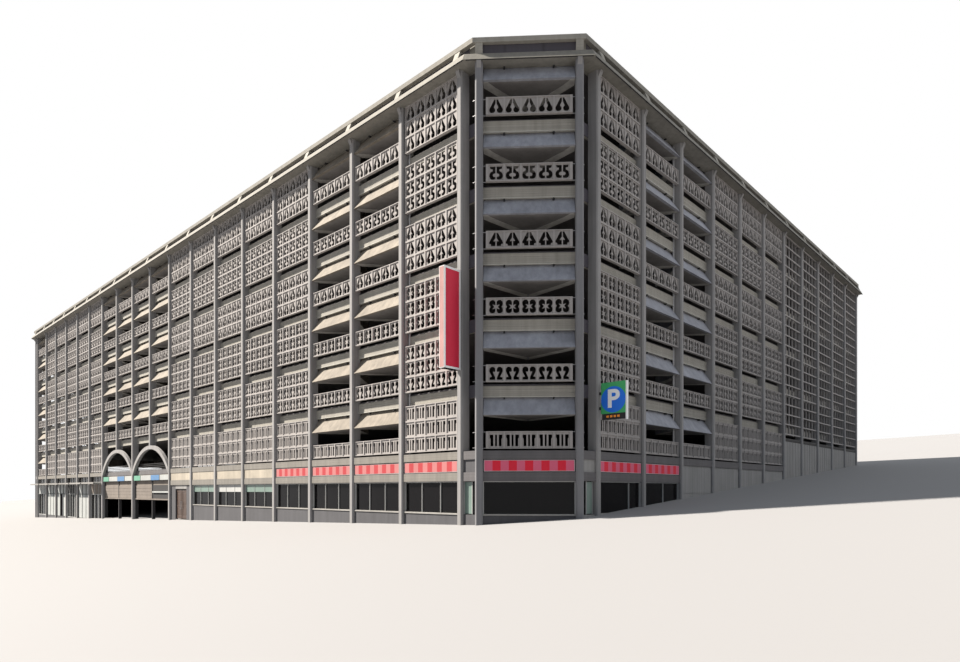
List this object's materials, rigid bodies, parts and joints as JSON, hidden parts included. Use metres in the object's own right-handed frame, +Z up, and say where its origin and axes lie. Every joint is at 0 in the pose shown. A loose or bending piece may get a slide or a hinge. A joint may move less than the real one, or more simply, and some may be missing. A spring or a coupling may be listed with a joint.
{
  "type": "multi storey car park (one-tenth scale model)",
  "caption": "Street-corner concrete car park with numeral-pierced screens, sloping hoods, arched car portals and shops at street level.",
  "frame": {"origin": "middle of the footprint between the column fronts, at the lowest street level", "axes": "+Z up; +Y along the long left street front, away from the near corner; +X along the right street front; the cut-off near corner faces -X and -Y"},
  "size_m": [5, 8.387, 2.297],
  "materials": {
    "deck_concrete": "rough cast",
    "party_wall_concrete": "plain cast wall",
    "board_concrete": "board-marked, weathered",
    "column_concrete": "smooth precast, weathered",
    "panel_concrete": "precast with fine stone, weathered",
    "hood_concrete": "cast, pale where the sun reaches",
    "street_concrete": "plain cast wall",
    "striped_board": "painted stripes",
    "portal_board": "matt paint",
    "shop_glass": "clear, tinted",
    "white_metal": "satin paint",
    "brown_door": "varnished",
    "red_sign": "satin paint",
    "parking_sign_face": "satin paint"
  },
  "bodies": {
    "building": {"canopies": "white_metal", "column_brackets": "column_concrete", "columns_back": "column_concrete", "columns_corners": "column_concrete", "columns_left": "column_concrete", "columns_right": "column_concrete", "cornice_corners": "board_concrete", "cornice_streets": "board_concrete", "entrance_surround": "street_concrete", "first_floor_beams": "board_concrete", "ground_slab": "deck_concrete", "hoods_back": "hood_concrete", "hoods_corners": "hood_concrete", "hoods_left": "hood_concrete", "hoods_right": "hood_concrete", "lattice_bars": "panel_concrete", "lattice_fins": "panel_concrete", "parking_decks": "deck_concrete", "parking_sign": "parking_sign_face", "party_wall": "party_wall_concrete", "portal_arches": "column_concrete", "portal_floors": "deck_concrete", "portal_headers": "portal_board", "portal_sills": "street_concrete", "rail_posts": "board_concrete", "railings_back": "panel_concrete", "railings_corners": "panel_concrete", "railings_left": "panel_concrete", "railings_right": "panel_concrete", "roof_rail_corners": "board_concrete", "roof_rail_streets": "board_concrete", "screens_back": "panel_concrete", "screens_left": "panel_concrete", "screens_right": "panel_concrete", "shop_beams": "board_concrete", "shop_door_surround": "white_metal", "shop_windows_left": "shop_glass", "shop_windows_right": "shop_glass", "sign_boards": "striped_board", "spandrels_corners": "board_concrete", "spandrels_streets": "board_concrete", "street_walls_back": "street_concrete", "street_walls_corners": "street_concrete", "street_walls_left": "street_concrete", "street_walls_right": "street_concrete", "tall_sign": "red_sign"},
    "entrance_leaf_right": {"entrance_door_right": "brown_door"},
    "entrance_leaf_left": {"entrance_door_left": "brown_door"},
    "shop_leaf": {"shop_door": "white_metal"}
  },
  "joints": [
    {"name": "entrance_right_hinge", "type": "hinge", "parent": "building", "child": "entrance_leaf_right", "pos_m": [-2.421, -0.7025, 0.118], "axis": [0, 0, 1], "range_deg": [-90, 0]},
    {"name": "entrance_left_hinge", "type": "hinge", "parent": "building", "child": "entrance_leaf_left", "pos_m": [-2.421, -0.5125, 0.118], "axis": [0, 0, 1], "range_deg": [0, 90]},
    {"name": "shop_door_hinge", "type": "hinge", "parent": "building", "child": "shop_leaf", "pos_m": [-2.421, 2.0485, 0.056], "axis": [0, 0, 1], "range_deg": [-90, 0]}
  ]
}
